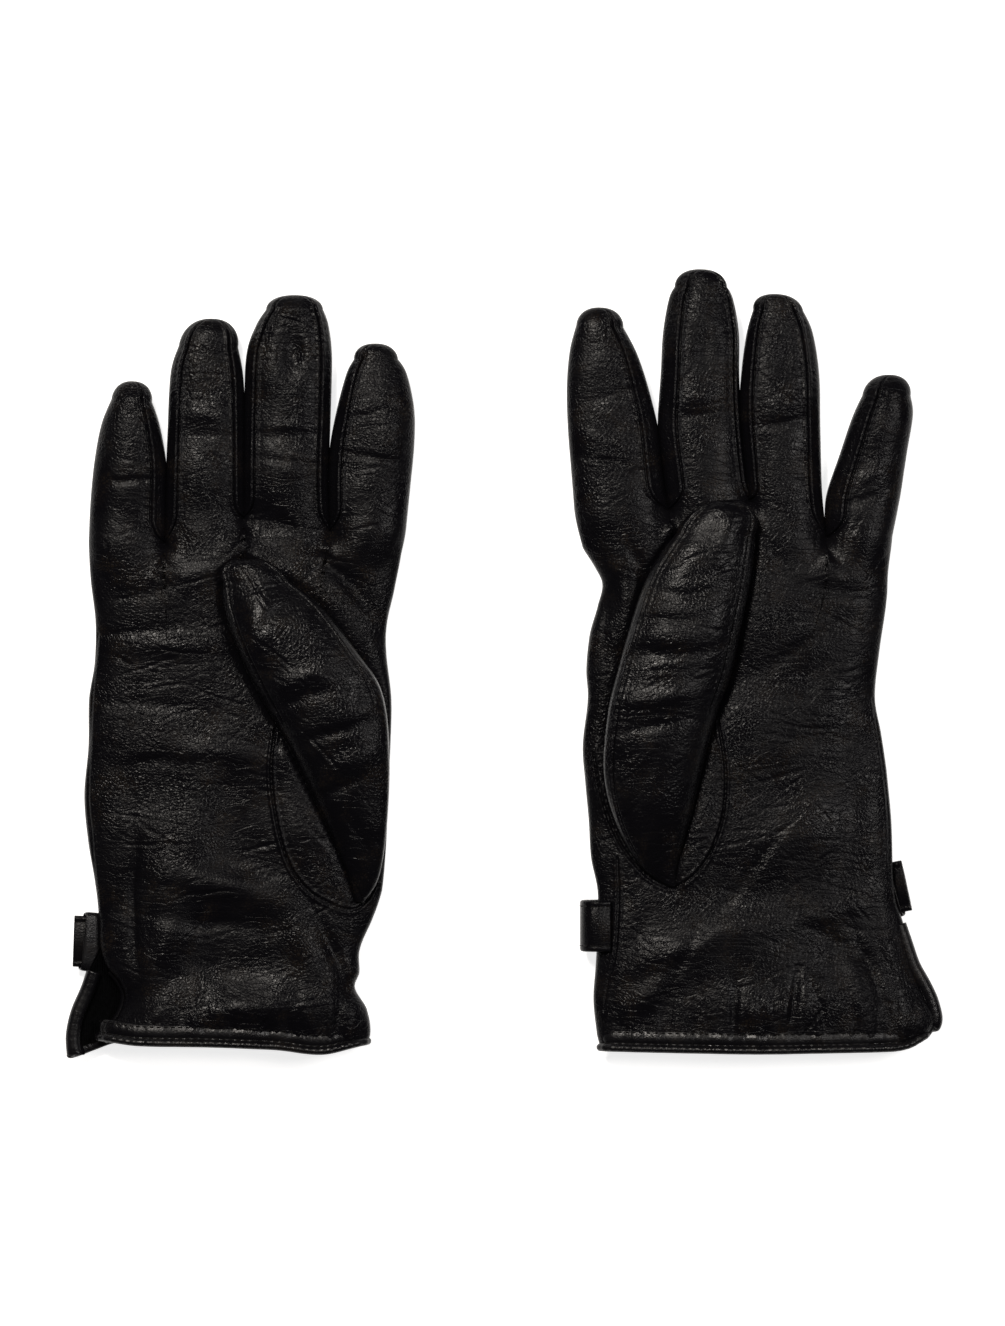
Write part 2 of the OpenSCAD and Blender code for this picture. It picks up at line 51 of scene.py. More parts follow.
# ---- Shapes of the two gloves, in millimetres ----
# Each finger: (x, y) of its left edge and of its right edge, row by row from its root to where its
# tip starts to close; its tip; how far its two front seams lie in from the edges (0 for no seam).
# Fingers are listed from -X to +X.
RIGHT = {
    "fingers": {
        "little": {
            "edges": [
                (-140.3, 41, -114.2, 40.5), (-139.7, 55, -113.9, 55), (-138.3, 69, -114, 68),
                (-136, 81, -116.3, 81), (-132.6, 89.5, -118.8, 88.5),
            ],
            "tip": (-125, 95.6), "seams": (0, 5.0),
        },
        "ring": {
            "edges": [
                (-114.7, 40.5, -87.1, 49), (-114.3, 58, -87.1, 62), (-113.7, 76, -87.3, 84),
                (-112.6, 98, -87.9, 97.5), (-109.8, 107.6, -89.6, 107),
            ],
            "tip": (-98.4, 116.8), "seams": (4.4, 3.9),
        },
        "middle": {
            "edges": [
                (-88, 49, -58.2, 44.5), (-87.9, 66, -58.9, 62), (-87.6, 88, -58.2, 84),
                (-86.8, 105, -57.8, 104), (-83.6, 114.5, -59, 114.5), (-80.2, 119.8, -60.8, 119.8),
            ],
            "tip": (-70.5, 124.8), "seams": (3.9, 3.7),
        },
        "index": {
            "edges": [
                (-58.9, 44.5, -32.6, 46), (-59.2, 60, -31.2, 60), (-58.6, 73, -29.9, 74),
                (-56.2, 86, -29.9, 86), (-53, 98, -32.4, 98), (-50.4, 103, -35.4, 103),
            ],
            "tip": (-43.2, 108.4), "seams": (4.6, 0),
        },
    },
    # Side edges at -X and at +X: (y, x), from the cuff to the finger roots
    "low": [
        (-130, -139), (-126, -136), (-119.5, -130.6), (-113, -128.5), (-108, -130.4),
        (-103, -134.4), (-96, -136.4), (-86, -136.8), (-75, -138), (-60, -140.5), (-45, -141.8),
        (-28, -140.4), (-12, -140.2), (0, -138.3), (14, -138), (28, -139.6), (41, -140.3),
    ],
    "high": [
        (-132, -48), (-126, -44.8), (-117, -46), (-110, -50), (-105, -48.5), (-97, -48.3),
        (-86, -43.8), (-77, -40.8), (-61, -39.4), (-44, -38.8), (-28, -38), (-12, -37.7),
        (4, -39.4), (13, -39.2), (24, -36.8), (37, -34.3), (46, -32.6),
    ],
    # The slit's side and top, and the back's own edge along it
    "slit_edge": "low",
    "slit_top": -104,
    "back_slit": [(-133, -146.6), (-126, -146.9), (-118, -145.2), (-110, -141.8), (-103, -139.4)],
    # Bottom edge of the cuff: (x, y)
    "palm_end": [(-139, -127), (-124, -128.6), (-100, -129), (-75, -130), (-58, -131.6), (-45, -128.5)],
    "back_end": [
        (-148, -133.2), (-141, -131), (-132, -128), (-120, -128), (-75, -129.4), (-45, -128.2),
    ],
    # Thumb stations from the pointed lower end: (x, y) of the left edge and of the right edge, then
    # the heights of the left edge, the right edge, the top and the underside
    "thumb": [
        (-49.6, -80.8, -47, -81, 13.4, 13.2, 14.0, 9),
        (-53.6, -69, -42, -73, 14.2, 14.6, 17.4, 7),
        (-62.2, -50, -39.2, -57, 14.6, 17.0, 21.5, 6),
        (-73.4, -27, -38.1, -31, 15.4, 20.0, 25.4, 8),
        (-83.4, -9, -40.6, -10, 16.8, 20.4, 27.0, 14.4),
        (-90, 5, -49.2, 4, 17.4, 19.6, 27.0, 14.6),
        (-94.4, 19, -60.6, 18.6, 17.2, 18.2, 24.8, 14.8),
        (-94.6, 27, -71.4, 27.4, 17.2, 17.6, 23.2, 15.0),
    ],
    "thumb_tip": (-87, 35.2),
    "thumb_turn": 22,
    # Seams along the thumb: column of its rings, place where they start
    "thumb_seams": [(8, 70), (88, 60)],
    # Seam of the thumb piece on the palm
    "oval": [
        (-76.8, -22), (-78.3, -36), (-76.8, -51), (-73, -66), (-66.6, -76), (-58, -81.6),
        (-50.4, -83.4), (-45, -79), (-41.6, -70), (-39.8, -58), (-38.6, -44),
    ],
    # Folds of the leather: middle (x, y), direction in degrees, half length, half width, height
    "folds": [
        (-124.5, -86, 92, 24, 1.8, -1.1), (-116, -74, 96, 16, 6, 1.4), (-112, -92, 60, 14, 6, 1.8),
        (-93, -76, -12, 17, 6, 2.2), (-106, -62, 80, 12, 8, 1.5), (-98, -88, -8, 20, 3, -0.7),
        (-84, -104, 3, 26, 7, -1.3), (-90, -118, 4, 20, 5, 1.9), (-118, -118, 38, 10, 3, 0.8),
        (-126, -114, 60, 8, 2, -1.0), (-56, -98, -66, 17, 2.2, -1.2), (-64, -100, -64, 20, 5, 1.4),
        (-49, -117, 80, 9, 3, 1.1), (-55, -116, 84, 9, 1.8, -1.1), (-48, -107, 20, 8, 1.6, -1.4),
        (-72, -120, 75, 8, 3, -0.6), (-58, 33, -40, 15, 2.2, -0.6), (-50, 24, -50, 15, 1.8, -0.7),
        (-72, 41, -32, 14, 5, -2.6), (-84, 40, 62, 12, 2.4, -1.1), (-98, 34, 30, 14, 4, 0.6),
        (-115, 26, 12, 22, 3, -0.5), (-110, 6, 4, 20, 3.4, 0.9), (-120, -14, -5, 18, 2.4, -0.5),
        (-104, -52, 88, 24, 10, 1.0), (-45, 18, -60, 20, 4, -1.4), (-84, 50, 62, 9, 1.8, -0.6),
        (-104, 40, -48, 9, 2.0, -0.6), (-130, 10, 3, 12, 1.6, -0.5), (-118, -34, 6, 20, 2, -0.4),
        (-95, -30, -8, 16, 4, 0.8), (-71, 105, 90, 13, 8, 1.6), (-71, 105, 90, 8.5, 5, -3.2),
        (-70.8, 119.6, 0, 7, 1.8, 0.5), (-70, 80, 0, 12, 1.2, 0.5), (-70, 76.6, 4, 12, 1.3, -0.3),
        (-73, 68, -8, 10, 1.2, -0.5), (-98, 100, 90, 8, 5, -0.9), (-99, 84, 5, 10, 4, 0.9),
        (-98, 76, 2, 11, 1.4, -0.3), (-39, 75, 80, 13, 6, 1.4), (-94, 80.5, 90, 8, 5, 1.2),
        (-44, 70, -10, 13, 1.4, -0.5), (-43, 86, 12, 10, 1.2, -0.4), (-126, 62, 5, 10, 1.3, -0.5),
    ],
    # The same on the thumb
    "dents": [
        (-71, -6, 8, 11, 3.2, 1.1), (-70, -12.6, 10, 13, 2.0, -0.7), (-46, -16, 20, 7, 3, 0.5),
        (-58, -24, 20, 15, 2.0, -0.8), (-52, -34, 28, 10, 4, 1.3), (-55, -43, 32, 11, 2.0, -0.7),
        (-84, 15, 70, 14, 7, 1.5), (-79, 8, 20, 14, 9, 1.6), (-76, 16, 40, 12, 2.4, -0.5),
        (-48, -58, 110, 14, 2.4, -0.4),
    ],
    "side_seams": [[(-137.2, -84), (-138.9, -60), (-140.2, -44), (-138.8, -10), (-137, 10)]],
    # Middle line of the strap (x, y, z), then the keeper's x on it and the keeper's width
    "strap": [
        (-52, -95, 2.2), (-90, -95, 2.2), (-124, -95, 2.3), (-133.5, -95, 3.0), (-137.2, -94.8, 5.2),
        (-140.4, -94.5, 6.7), (-145.4, -94.3, 6.5),
    ],
    "keeper": (-139.4, 6.6),
}

LEFT = {
    "fingers": {
        "index": {
            "edges": [
                (24.3, 52, 56.5, 51.7), (23.2, 66, 54.4, 65), (22.1, 80, 52.9, 79), (21.8, 94, 49.6, 93),
                (22.8, 106, 45.6, 105), (25, 114.6, 41, 113.8),
            ],
            "tip": (33.4, 120.6), "seams": (0, 6.0),
        },
        "middle": {
            "edges": [
                (56.1, 51.8, 83.9, 55), (54.1, 66, 82.2, 69), (52.6, 80, 80.9, 84), (53.6, 98, 80.3, 98),
                (54.4, 112, 80.2, 112), (56.4, 123.4, 78.2, 123.4), (58.4, 127.6, 76.2, 127.4),
            ],
            "tip": (67.2, 133.6), "seams": (6.2, 2.0),
        },
        "ring": {
            "edges": [
                (83.3, 55, 110, 42.4), (81.8, 69, 108.4, 58), (80.4, 86, 107.8, 80), (81, 99, 107.4, 98),
                (82.8, 112, 105.2, 112), (85, 119.8, 102, 119.4),
            ],
            "tip": (92.6, 125.2), "seams": (4.4, 4.8),
        },
        "little": {
            "edges": [
                (109.4, 42.4, 132.2, 43), (109.6, 56, 134.8, 56), (114.4, 71, 137.1, 71),
                (118.6, 83.4, 139.2, 84), (122, 90.8, 138.4, 90.6),
            ],
            "tip": (131.2, 97.8), "seams": (6.8, 0),
        },
    },
    "low": [
        (-132, 33.4), (-126, 32), (-114, 30.8), (-102, 31.6), (-90, 32.2), (-77, 32.2), (-66, 30),
        (-53, 29.2), (-40, 28), (-28, 27.2), (-12, 28.9), (-2, 28.4), (10, 29.6), (20, 32.4),
        (27, 33.8), (33, 31), (39, 27.2), (52, 24.3),
    ],
    "high": [
        (-131, 140), (-126, 144), (-121, 146.6), (-114, 143.4), (-104, 139.2), (-96, 137.4),
        (-88, 135.8), (-81, 133.4), (-72, 132.3), (-53, 131.8), (-36, 130.2), (-24, 128.4),
        (-12, 126.3), (4, 127.8), (21, 130.2), (31, 130.8), (43, 132.2),
    ],
    "slit_edge": "high",
    "slit_top": -88,
    "back_slit": [
        (-128, 144.6), (-122, 148), (-116, 147.2), (-110, 144.8), (-102, 140.4), (-92, 137),
    ],
    "palm_end": [
        (33, -130.6), (60, -131), (90, -131.4), (118, -131), (138, -130.6), (143, -129.4), (146, -126),
    ],
    "back_end": [(33, -130.6), (90, -130), (136, -128), (148, -124)],
    "thumb": [
        (56.2, -75.6, 58.6, -75.6, 13.4, 13.4, 14.0, 9),
        (46.8, -69, 59.6, -67, 14.6, 14.0, 17.4, 7),
        (38.2, -54, 63.6, -53, 17.0, 14.6, 21.4, 6),
        (34.2, -37, 67.6, -36, 19.6, 15.2, 24.8, 7),
        (35.4, -18, 72.6, -17, 20.4, 16.6, 26.6, 12),
        (38.4, -4, 77.2, -4, 19.6, 17.0, 27.2, 14.4),
        (43.4, 14, 81.2, 14, 18.6, 17.4, 27.2, 14.6),
        (49.2, 30, 84.2, 30, 18.0, 17.6, 25.6, 14.8),
        (58.6, 44, 85.4, 43.4, 17.4, 17.4, 23.4, 15.0),
    ],
    "thumb_tip": (76.4, 55),
    "thumb_turn": -8,
    "thumb_seams": [(88, 10), (8, 60)],
    "oval": [
        (30.8, -30), (32.8, -42), (36.4, -54), (42, -64.4), (49.4, -72.4), (57, -75.8),
        (64.4, -72), (70.6, -63.4), (74.6, -51), (75.4, -36), (73, -20),
    ],
    "folds": [
        (47, 33, 112, 15, 2.4, -1.1), (42, 20, 100, 16, 4, 1.1), (35, 12, 96, 14, 1.8, -0.7),
        (66, -95, 20, 26, 5, 1.2), (60, -103, 70, 16, 2.4, -0.8), (50, -112, 30, 14, 4, 1.2),
        (88, -116, 0, 18, 7, 1.2), (78, -116, 78, 9, 1.8, -0.7), (98, -113, 75, 11, 1.6, -0.9),
        (107, -117, 100, 10, 1.6, -0.7), (116, -96, 150, 20, 3, -0.7), (126, -108, 110, 18, 1.8, -1.0),
        (121, -112, 108, 16, 2.4, 0.8), (132, -98, 100, 16, 2.2, 0.6), (100, 36, 25, 13, 6, -1.6),
        (88, 44, -60, 9, 2.0, -0.7), (108, 26, -12, 18, 3, -0.6), (94, -62, 55, 24, 7, 1.2),
        (83, -72, 52, 22, 2.4, -0.7), (120, -50, 80, 26, 5, -1.0), (110, -14, 60, 20, 6, 1.0),
        (98, 4, 30, 20, 2.4, -0.5), (56, 58, 70, 9, 2.2, -0.6), (104, -86, 10, 22, 3, 0.5),
        (44, -96, 60, 12, 3, -0.6), (68, 118, 92, 8, 6, 0.8), (68, 106, 90, 8, 5, -0.9),
        (67, 84, 6, 11, 1.4, -0.5), (68, 90, 4, 10, 3, 0.4), (36, 76, -12, 14, 3, 0.5),
        (36, 68, -14, 14, 1.4, -0.5), (38, 90, 12, 12, 1.4, -0.4), (94, 104, 92, 8, 5, -0.8),
        (94, 82, 4, 11, 1.3, -0.5), (95, 88, 2, 10, 3, 0.5), (124, 64, 20, 10, 3, 0.5),
        (123, 56, 18, 11, 1.4, -0.5), (88, 66, 80, 8, 2, -0.4),
    ],
    "dents": [
        (54, 14, 8, 15, 2.0, -0.7), (60, 38, -6, 12, 3, 0.5), (56, 3, 5, 16, 2.2, -0.7),
        (54, 8, 6, 14, 3, 0.4), (52, -12, 4, 14, 3.4, 1.0), (50, -22, 8, 14, 1.8, -0.5),
        (46, -44, 62, 18, 2.4, -0.5), (66, 24, 4, 14, 1.6, -0.5), (62, -60, 40, 8, 3, 0.5),
        (78, 44, 60, 9, 4, 0.8), (72, 30, 10, 12, 1.4, -0.4),
    ],
    "side_seams": [
        [(38.8, -66), (39.2, -80), (38.2, -98), (35.6, -108), (34.4, -118)],
        [(131, -70), (130.6, -52), (129, -36), (125.4, -12)],
    ],
    "strap": [
        (36.6, -89, 13.2), (31.4, -89, 13.9), (27.9, -89, 11.8), (27.0, -89, 7.6), (28.2, -89, 3.8),
        (33, -89, 2.1), (60, -88.4, 2.0), (96, -84.6, 2.0), (120, -80, 2.2), (129, -77.4, 3.0),
        (133.4, -76.2, 4.8), (137, -75.4, 6.2),
    ],
    "keeper": (132.4, 3.0),
}

# ---- Driving sizes, in millimetres ----

SEAM_Z = 7.0            # height where the palm side and the back meet
HAND_TOP = 14.0
FINGER_TOP = 13.8
CUFF_RISE = 2.6         # rise of the palm side towards the open end of the cuff
CUFF_FROM = -70         # y where that rise starts, and the length it takes
CUFF_OVER = 55
CROTCH = 6.0            # length over which the palm dips into the gaps between fingers
BLEND = 18.0            # length over which the palm rises to a finger's front
SECTION = 0.92          # 1 gives round finger sections, less gives flatter ones
CLOSED = 0.004          # what is left of a fingertip's width at its last row

STRAP_W = 17.4
STRAP_T = 1.5
STRAP_ROOM = 3.0        # how far the back is lifted over the strap
STRAP_FROM = -48        # y where that lift starts, and the length it takes
STRAP_OVER = 20
STRAP_SEAM = 2.0        # distance of the strap's stitches from its edges
STRAP_FACE = 0.62       # height of the strap's stitches from its middle
KEEPER_GAP = 0.9        # gap between the strap's edges and the keeper
STITCH = 2.5            # spacing of the stitches
THREAD_R = 0.26
THREAD_HALF = 0.85      # half length of one stitch
WRINKLE_AREA = 90000.0  # area over which the fine creases are scattered

# ---- How finely the grids are divided ----

HAND_ROWS = 300
FINGER_STEP = 0.6       # distance between the rows of a finger or thumb
FRONT = 46              # columns over a finger's front
WALL = 14               # columns over each side wall of its palm side
BACK = 26               # the same two for its back
BACK_WALL = 7
TIP_ROWS = 15           # rows that close a fingertip
THUMB_FRONT = 97        # columns over the thumb's front
THUMB_TIP_ROWS = 20
LINING_ROWS = slice(4, 150, 3)  # rows of the hand's grid that the lining follows

# Columns of a thumb station
LEFT_XY, RIGHT_XY = slice(0, 2), slice(2, 4)
LEFT_Z, RIGHT_Z, TOP_Z, UNDER_Z = 4, 5, 6, 7


# ---- Curves and noise ----


def mix(a, b, t):
    return a + (b - a) * t


def ease(t):
    t = np.clip(t, 0, 1)
    return t * t * (3 - 2 * t)


def through(points, t):
    """Smooth curve through a list of points, at t from 0 at the first to 1 at the last."""
    p = np.asarray(points, float)
    t = np.clip(np.asarray(t, float), 0, 1) * (len(p) - 1)
    i = np.minimum(t.astype(int), len(p) - 2)
    f = (t - i)[..., None]
    a, b = p[np.maximum(i - 1, 0)], p[i]
    c, d = p[i + 1], p[np.minimum(i + 2, len(p) - 1)]
    return 0.5 * (2 * b + (c - a) * f + (2 * a - 5 * b + 4 * c - d) * f**2 + (3 * b - a - 3 * c + d) * f**3)


def read(table, x):
    """Smooth value of a table of (x, value) rows at x."""
    rows = np.asarray(table, float)
    place = np.interp(x, rows[:, 0], np.linspace(0, 1, len(rows)))
    return through(rows[:, 1:2], place)[..., 0]


LATTICE = np.random.default_rng(7).uniform(-1, 1, (256, 256))


def noise(x, y, seed):
    """Smooth noise from -1 to 1 whose features are about one unit wide."""
    x, y = x + 37.7 * seed, y + 91.3 * seed
    i, j = np.floor(x).astype(int), np.floor(y).astype(int)
    u, v = ease(x - i), ease(y - j)
    a, b = LATTICE[i % 256, j % 256], LATTICE[(i + 1) % 256, j % 256]
    c, d = LATTICE[i % 256, (j + 1) % 256], LATTICE[(i + 1) % 256, (j + 1) % 256]
    return mix(mix(a, b, u), mix(c, d, u), v)


def folds(rows, x, y):
    """Long rounded ridges and hollows, each given as a row of a glove's table."""
    z = np.zeros_like(x)
    for cx, cy, angle, length, width, height in rows:
        c, s = math.cos(math.radians(angle)), math.sin(math.radians(angle))
        along = ((x - cx) * c + (y - cy) * s) / length
        across = ((y - cy) * c - (x - cx) * s + 1.5 * noise(x / 14, y / 14, 5)) / width
        z += height * np.exp(-(along**2) - across**2)
    return z


def wrinkles(x, y, seed, spacing, depth):
    """Fine creases scattered over the leather: thin hollows between low lips, mostly crosswise."""
    rng = np.random.default_rng(seed)
    count = int(WRINKLE_AREA / spacing**2)
    places = rng.uniform((-160, -150), (160, 150), (count, 2))
    turns = np.radians(rng.normal(0, 24, count))
    sizes = rng.uniform((3, 0.5, 0.3), (13, 1.0, 1.0), (count, 3))
    low, high = (x.min() - 5, y.min() - 5), (x.max() + 5, y.max() + 5)
    bend = 1.2 * noise(x / 9, y / 9, 5)
    z = np.zeros_like(x)
    for (cx, cy), turn, (length, width, strength) in zip(places, turns, sizes):
        if low[0] < cx < high[0] and low[1] < cy < high[1]:
            along = ((x - cx) * math.cos(turn) + (y - cy) * math.sin(turn)) / length
            across = ((y - cy) * math.cos(turn) - (x - cx) * math.sin(turn) + bend) / width
            z -= depth * strength * (1 - 2 * across**2) * np.exp(-(across**2) - along**2)
    return z


def leather_relief(x, y):
    """Wrinkles of soft leather: broad waves, cross creases and fine lines."""
    broad = 0.85 * noise(x / 26, y / 18, 1) + 0.28 * noise((x + 0.5 * y) / 14, (y - 0.5 * x) / 9, 2)
    return broad + wrinkles(x, y, 3, 12, 0.24) + wrinkles(x, y, 4, 6, 0.1)


def groove(distance):
    """Section of a turned seam: a narrow gap between two raised lips."""
    lips = 0.5 * np.exp(-(((np.abs(distance) - 0.85) / 0.6) ** 2))
    return lips - 1.1 * np.exp(-((distance / 0.4) ** 2))


def puckers(distance, along):
    """Small gathers that the stitches of a seam pull into the leather beside it."""
    near = np.exp(-(((np.abs(distance) - 1.3) / 1.4) ** 2))
    return 0.08 * near * np.sin(2 * math.pi * along / STITCH + 2 * noise(along / 9, 0 * along, 11))


def from_line(points, x, y):
    """(distance to a smooth line, length along it) for each place."""
    line = through(points, np.linspace(0, 1, 160))
    length = np.concatenate([[0], np.cumsum(np.linalg.norm(np.diff(line, axis=0), axis=1))])
    place = np.stack([x.ravel(), y.ravel()], 1)
    best = np.full(len(place), 1e9)
    along = np.zeros(len(place))
    for k in range(len(line)):
        d = np.hypot(place[:, 0] - line[k, 0], place[:, 1] - line[k, 1])
        closer = d < best
        best = np.where(closer, d, best)
        along = np.where(closer, length[k], along)
    return best.reshape(x.shape), along.reshape(x.shape)


def inside(points, x, y):
    """True inside the outline."""
    p = through(points, np.linspace(0, 1, 120))
    q = np.roll(p, -1, axis=0)
    hit = np.zeros(x.shape, bool)
    for (ax, ay), (bx, by) in zip(p, q):
        crosses = (ay > y) != (by > y)
        hit ^= crosses & (x < ax + (y - ay) * (bx - ax) / (by - ay + 1e-12))
    return hit


# ---- Meshes from grids of points ----


def grid_faces(rows, cols, closed=False, flip=False):
    spans = cols if closed else cols - 1
    faces = []
    for r in range(rows - 1):
        for c in range(spans):
            d = (c + 1) % cols
            quad = (r * cols + c, r * cols + d, (r + 1) * cols + d, (r + 1) * cols + c)
            faces.append(quad[::-1] if flip else quad)
    return faces


def in_scene(name, data):
    obj = bpy.data.objects.new(name, data)
    bpy.context.scene.collection.objects.link(obj)
    return obj


def mesh_object(name, points, faces, material, body=None):
    """A smooth-shaded object; points are in millimetres. Keeps each point's place at rest."""
    points = np.asarray(points, float).reshape(-1, 3) * MM
    mesh = bpy.data.meshes.new(name)
    mesh.from_pydata(points.tolist(), [], faces)
    mesh.validate()
    mesh.shade_smooth()
    rest = mesh.attributes.new("rest", "FLOAT_VECTOR", "POINT")
    rest.data.foreach_set("vector", points.astype(np.float32).ravel())
    mesh.materials.append(material)
    obj = in_scene(name, mesh)
    if body:
        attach(obj, body)
    return obj


def tube_faces(rows, cols, flip=False):
    """Faces of a closed tube of rings, with a cap over both ends."""
    last = (rows - 1) * cols
    faces = grid_faces(rows, cols, closed=True)
    faces += [tuple(range(cols))[::-1], tuple(range(last, last + cols))]
    return [face[::-1] for face in faces] if flip else faces


# ---- Fingers ----


def power(v, p):
    return np.sign(v) * np.abs(v) ** p


def edge_lines(finger):
    """Left and right edge points row by row from root to tip, and how far the tip has closed."""
    edges = np.array(finger["edges"], float).reshape(-1, 2, 2)
    length = np.linalg.norm(edges[-1].mean(0) - edges[0].mean(0))
    body = np.linspace(0, 1, int(length / FINGER_STEP))
    left, right = through(edges[:, 0], body), through(edges[:, 1], body)
    tip = np.array(finger["tip"], float)
    w = np.linspace(0, math.pi / 2, TIP_ROWS)[1:, None]
    centre, half = (left[-1] + right[-1]) / 2, (right[-1] - left[-1]) / 2
    middle = mix(centre, tip, np.sin(w))
    cap = np.cos(w) ** 0.85
    left = np.vstack([left, middle - half * cap])
    right = np.vstack([right, middle + half * cap])
    close = np.concatenate([np.ones(len(body)), np.maximum(np.cos(w[:, 0]), CLOSED) ** 0.6])
    return left, right, close


def crowded(start, end, count):
    """Values row by row from start to end, closer together near both."""
    t = np.linspace(0, 1, count + 1)[:-1]
    t = t - 0.65 * np.sin(2 * math.pi * t) / (2 * math.pi)
    return start[:, None] + (end - start)[:, None] * t[None, :]


def angle_at(u):
    """Angle round a finger's section at u, from 1 at its right edge to -1 at its left edge."""
    return np.arccos(np.clip(power(u, 1 / SECTION), -1, 1))


def finger_angles(finger, width, run):
    """Angle of every column in each ring: right wall, front, left wall, then the back."""
    opening = np.sqrt(1 - np.clip(1 - run / 8, 0, 1) ** 2)
    left, right = (s if s > 0 else 4.0 for s in finger["seams"])
    usual = width.max()

    def inset(mm):
        return 1 - np.clip(mm * (0.3 + 0.7 * width / usual) / np.maximum(width, 0.2), 0.05, 0.9)

    edge = np.full_like(run, 0.12)
    right_seam = np.maximum(angle_at(inset(right)) * opening, edge)
    left_seam = math.pi - np.maximum(angle_at(inset(left)) * opening, edge)
    back = np.maximum(0.8 * opening, edge)
    zero, half = np.zeros_like(run), np.full_like(run, math.pi)
    front = angle_at(crowded(power(np.cos(right_seam), SECTION), power(np.cos(left_seam), SECTION), FRONT))
    return np.hstack([
        crowded(zero, right_seam, WALL),
        front,
        crowded(left_seam, half, WALL),
        crowded(half, half + back, BACK_WALL),
        crowded(half + back, 2 * half - back, BACK),
        crowded(2 * half - back, 2 * half, BACK_WALL),
    ])


def finger_grid(finger):
    """Rings of a finger from its root to its tip, the angles of their columns and their places."""
    left, right, close = edge_lines(finger)
    centre, half = (left + right) / 2, (right - left) / 2
    run = np.concatenate([[0], np.cumsum(np.linalg.norm(np.diff(centre, axis=0), axis=1))])
    share = run / run[-1]
    angle = finger_angles(finger, np.linalg.norm(half, axis=1), run)
    top = (FINGER_TOP - SEAM_Z - 0.8 * share - 2.0 * share**6) * close
    bottom = (SEAM_Z - 0.9 * share**2) * close
    height = np.where(np.sin(angle) >= 0, top[:, None], bottom[:, None])
    xy = centre[:, None, :] + half[:, None, :] * power(np.cos(angle), SECTION)[..., None]
    z = SEAM_Z - 0.5 * share[:, None] + height * power(np.sin(angle), SECTION)
    return np.dstack([xy, z]), angle, run


def seam_relief(points, run, column, start):
    """Groove and gathers along one column of a grid, fading in from the row at `start`."""
    offset = np.linalg.norm(points - points[:, column : column + 1], axis=2)
    side = np.arange(points.shape[1])[None, :] - column
    fade = ease((run[:, None] - start) / 5)
    return fade * (groove(offset) + puckers(offset * np.sign(side + 0.5), run[:, None] + 0 * offset))


def outward(points, closed):
    """Unit normals of a grid of points."""
    if closed:
        across = np.roll(points, -1, 1) - np.roll(points, 1, 1)
    else:
        across = np.gradient(points, axis=1)
    n = np.cross(across, np.gradient(points, axis=0))
    return -n / np.maximum(np.linalg.norm(n, axis=2, keepdims=True), 1e-9)


def finger_surface(finger, fold_rows):
    """Grid of a finger with its seams, wrinkles and folds, and the angles of its columns."""
    points, angle, run = finger_grid(finger)
    x, y = points[..., 0], points[..., 1]
    up = np.clip(np.sin(angle), 0, 1) ** 0.6
    down = np.clip(-np.sin(angle), 0, 1) ** 0.6
    tip = ease((y.max() - y) / 6)
    seams = np.zeros_like(x)
    for inset, column in zip(finger["seams"][::-1], (WALL, WALL + FRONT)):
        if inset > 0:
            seams = seams + seam_relief(points, run, column, -3) * tip
    normal = outward(points, True)
    points = points + normal * seams[..., None]
    front = leather_relief(x, y) + folds(fold_rows, x, y)
    points[..., 2] += up * front * mix(0.4, 1, tip) - down * 0.4 * leather_relief(x + 300, y)
    return points, angle


# ---- Hand ----


def border(glove, palm):
    """Root points of the fingers along one side of the hand, and how far each faces away from it."""
    rows, ups = [], []
    half = 2 * WALL + FRONT
    fingers = list(glove["fingers"].values())
    for finger in fingers[::-1] if palm else fingers:
        points, angle = finger["surface"]
        ring = np.vstack([points[0], points[0][:1]])
        a = np.append(angle[0], 2 * math.pi)
        part = slice(0, half + 1) if palm else slice(half, None)
        rows.append(ring[part])
        ups.append(np.abs(np.sin(a[part])))
    return np.vstack(rows), np.concatenate(ups)


def hand_profile(u):
    return np.clip(1 - np.abs(u) ** 3.4, 0, 1) ** 0.42


def lifted(y):
    """Height of the back's underside, which rises over the strap."""
    return STRAP_ROOM * ease((STRAP_FROM - y) / STRAP_OVER)


def side_edge(glove, side, edge):
    """Table of one side edge. The back's differs from the palm's only along the slit."""
    rows = glove[edge]
    if side == "palm" or edge != glove["slit_edge"]:
        return rows
    shared_from = max(glove["slit_top"], glove["back_slit"][-1][0])
    return glove["back_slit"] + [row for row in rows if row[0] > shared_from]


def hand_plan(glove, side, roots):
    """Grid seen from above, from the cuff to the finger roots: x, y and each place's share across."""
    low, high = side_edge(glove, side, "low"), side_edge(glove, side, "high")
    lo, hi = read(low, roots[:, 1]), read(high, roots[:, 1])
    root_share = np.clip((roots[:, 0] - lo) / (hi - lo), 0, 1)
    share = np.linspace(1, 0, len(roots)) if side == "palm" else np.linspace(0, 1, len(roots))
    end = np.array(glove[side + "_end"], float)
    y0 = read(end, mix(end[0, 0], end[-1, 0], share))
    t = np.linspace(0, 1, HAND_ROWS)[:, None]
    y = mix(y0[None, :], roots[None, :, 1], t)
    s = mix(share[None, :], root_share[None, :], ease((t - 0.72) / 0.26))
    return mix(read(low, y), read(high, y), s), y, s


